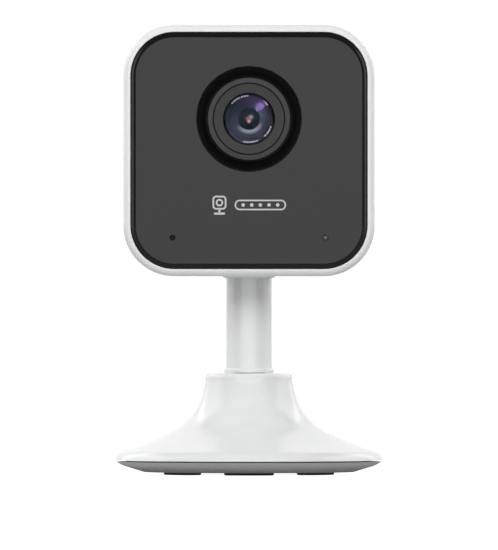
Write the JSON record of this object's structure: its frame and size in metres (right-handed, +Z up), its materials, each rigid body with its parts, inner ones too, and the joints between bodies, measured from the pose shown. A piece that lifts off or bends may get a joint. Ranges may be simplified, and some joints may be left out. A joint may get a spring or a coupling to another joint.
{
  "type": "security camera",
  "caption": "Small indoor security camera: a square head with a dark front panel and lens tilts on a round stem, which swivels on a weighted trumpet-shaped base.",
  "frame": {"origin": "centre of the base where its feet meet the table", "axes": "+Z up through the stem, the lens looks along -Y, +X is on the right of someone who faces the lens"},
  "size_m": [0.064, 0.064, 0.1068],
  "materials": {
    "base_shell": "satin white",
    "base_plate": "matt mid grey",
    "ballast_ring": "plain steel",
    "friction_ring": "matt",
    "rubber_foot_1": "matt",
    "rubber_foot_2": "matt",
    "rubber_foot_3": "matt",
    "rubber_foot_4": "matt",
    "rubber_foot_5": "matt",
    "rubber_foot_6": "matt",
    "base_screw_1": "plain steel",
    "base_screw_2": "plain steel",
    "base_screw_3": "plain steel",
    "stem": "satin white",
    "swivel_washer": "plain steel",
    "swivel_screw": "plain steel",
    "head_shell": "satin white",
    "front_panel": "polished black acrylic",
    "panel_frame": "matt black",
    "tilt_pin": "plain steel",
    "tilt_washer_left": "matt",
    "tilt_washer_right": "matt",
    "lens_bezel": "polished black",
    "lens_barrel": "satin dark grey",
    "lens_retaining_ring": "satin dark grey",
    "front_element": "coated glass",
    "aperture_stop": "matt black",
    "inner_element": "coated glass",
    "lens_holder": "matt black",
    "infrared_filter": "coated glass",
    "image_sensor": "glossy chip",
    "front_board": "solder mask",
    "microphone_boot": "matt",
    "light_pipe": "frosted clear",
    "infrared_lamp_left": "dark clear",
    "infrared_lamp_right": "dark clear",
    "main_board": "solder mask",
    "processor_shield": "tinned steel",
    "usb_socket": "tinned steel",
    "card_socket": "tinned steel",
    "reset_switch": "matt black",
    "speaker": "matt black",
    "wifi_antenna": "flexible copper strip",
    "ribbon_cable": "polyimide film",
    "head_screw_1": "plain steel",
    "head_screw_2": "plain steel",
    "head_screw_3": "plain steel",
    "head_screw_4": "plain steel",
    "reset_button": "satin off-white"
  },
  "bodies": {
    "base": {"base_shell": "base_shell", "base_plate": "base_plate", "ballast_ring": "ballast_ring", "friction_ring": "friction_ring", "rubber_foot_1": "rubber_foot_1", "rubber_foot_2": "rubber_foot_2", "rubber_foot_3": "rubber_foot_3", "rubber_foot_4": "rubber_foot_4", "rubber_foot_5": "rubber_foot_5", "rubber_foot_6": "rubber_foot_6", "base_screw_1": "base_screw_1", "base_screw_2": "base_screw_2", "base_screw_3": "base_screw_3"},
    "stem": {"stem": "stem", "swivel_washer": "swivel_washer", "swivel_screw": "swivel_screw"},
    "head": {"head_shell": "head_shell", "front_panel": "front_panel", "panel_frame": "panel_frame", "tilt_pin": "tilt_pin", "tilt_washer_left": "tilt_washer_left", "tilt_washer_right": "tilt_washer_right", "lens_bezel": "lens_bezel", "lens_barrel": "lens_barrel", "lens_retaining_ring": "lens_retaining_ring", "front_element": "front_element", "aperture_stop": "aperture_stop", "inner_element": "inner_element", "lens_holder": "lens_holder", "infrared_filter": "infrared_filter", "image_sensor": "image_sensor", "front_board": "front_board", "microphone_boot": "microphone_boot", "light_pipe": "light_pipe", "infrared_lamp_left": "infrared_lamp_left", "infrared_lamp_right": "infrared_lamp_right", "main_board": "main_board", "processor_shield": "processor_shield", "usb_socket": "usb_socket", "card_socket": "card_socket", "reset_switch": "reset_switch", "speaker": "speaker", "wifi_antenna": "wifi_antenna", "ribbon_cable": "ribbon_cable", "head_screw_1": "head_screw_1", "head_screw_2": "head_screw_2", "head_screw_3": "head_screw_3", "head_screw_4": "head_screw_4"},
    "reset_button": {"reset_button": "reset_button"}
  },
  "joints": [
    {"name": "pan", "type": "hinge", "parent": "base", "child": "stem", "pos_m": [0, 0, 0.02415], "axis": [0, 0, 1], "continuous": true},
    {"name": "tilt", "type": "hinge", "parent": "stem", "child": "head", "pos_m": [0, 0, 0.0535], "axis": [-1, 0, 0], "range_deg": [-30, 90]},
    {"name": "reset_press", "type": "slide", "parent": "head", "child": "reset_button", "axis": [1, 0, 0], "range_m": [0, 0.0004], "stiffness_N_per_m": 1000, "springref_m": -0.0003}
  ]
}
